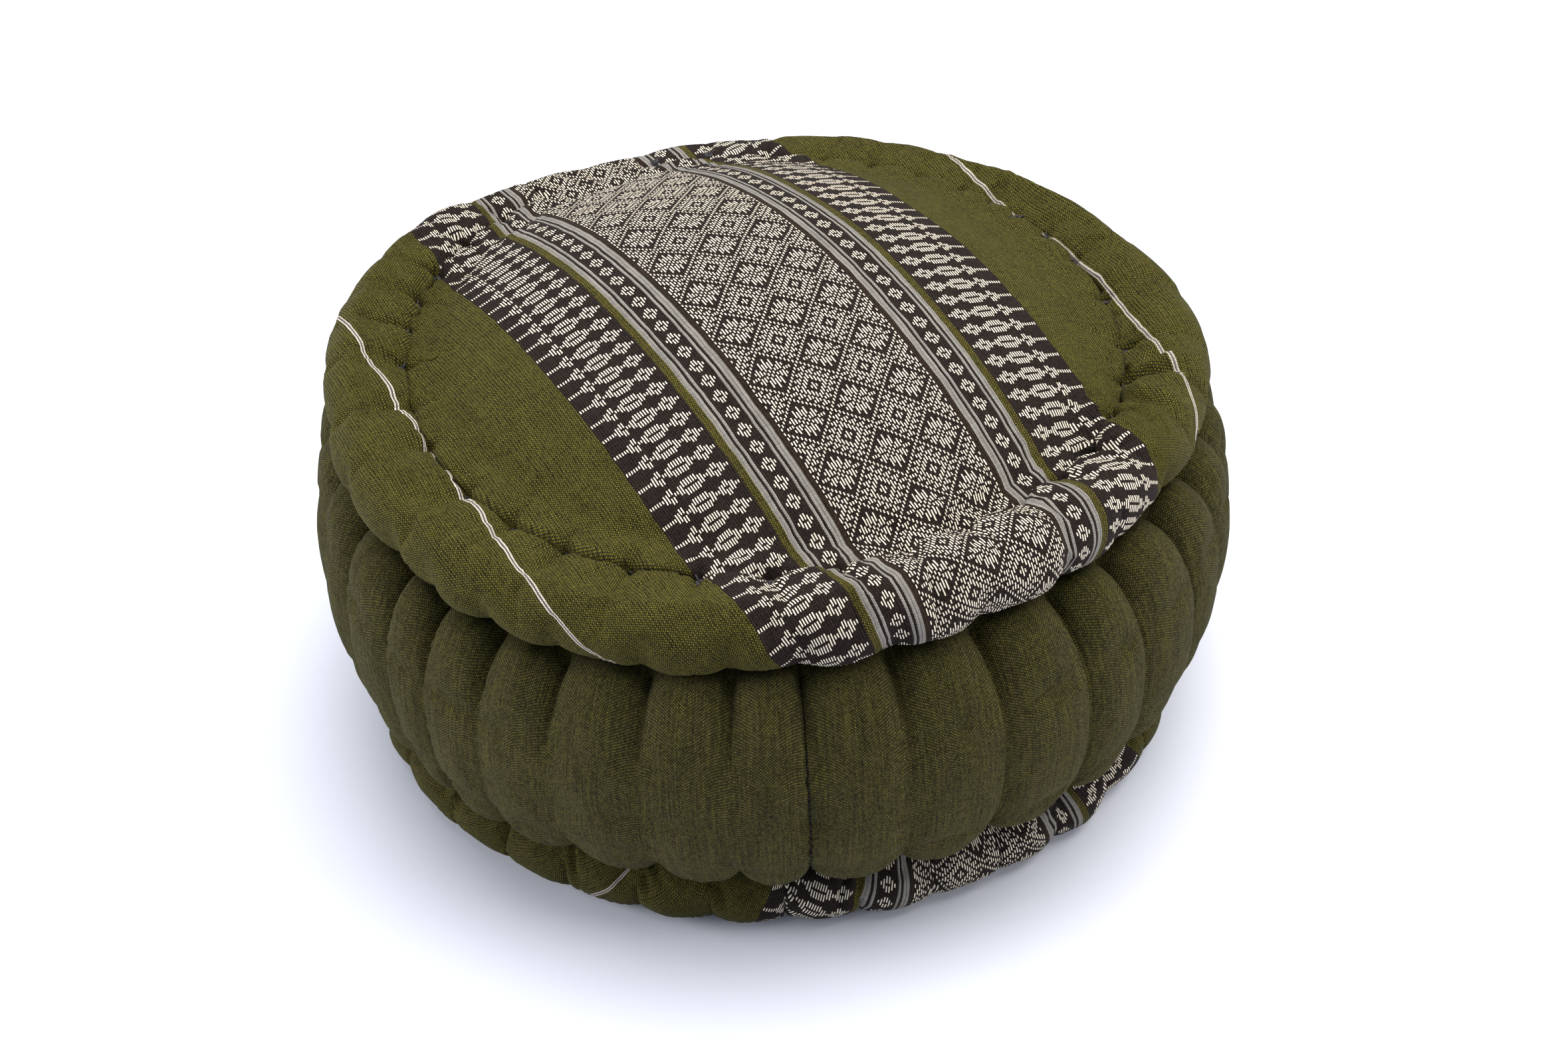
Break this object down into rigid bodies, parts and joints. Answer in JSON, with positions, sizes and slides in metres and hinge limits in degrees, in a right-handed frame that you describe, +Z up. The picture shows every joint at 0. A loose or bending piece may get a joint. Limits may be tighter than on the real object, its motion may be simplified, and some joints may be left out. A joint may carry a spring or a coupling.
{
  "type": "zafu cushion",
  "caption": "Round tufted floor cushion with a crowned top, rolled rims at top and base, and a gathered side swollen between sewn channels.",
  "frame": {"origin": "on the floor, at the middle of the flat of the base", "axes": "+Z up through the crown, +Y to the back of the cushion, +X to its right"},
  "size_m": [0.3973, 0.401, 0.2075],
  "materials": {
    "banded_cloth": "olive green plain weave with a broad patterned band in cream on near-black and thin cream stripes",
    "plain_cloth": "dark olive plain weave, matt, with slubs along the height of the side"
  },
  "bodies": {
    "root": {"top_panel": "banded_cloth", "cushion_body": "plain_cloth", "base_panel": "banded_cloth"}
  },
  "joints": []
}
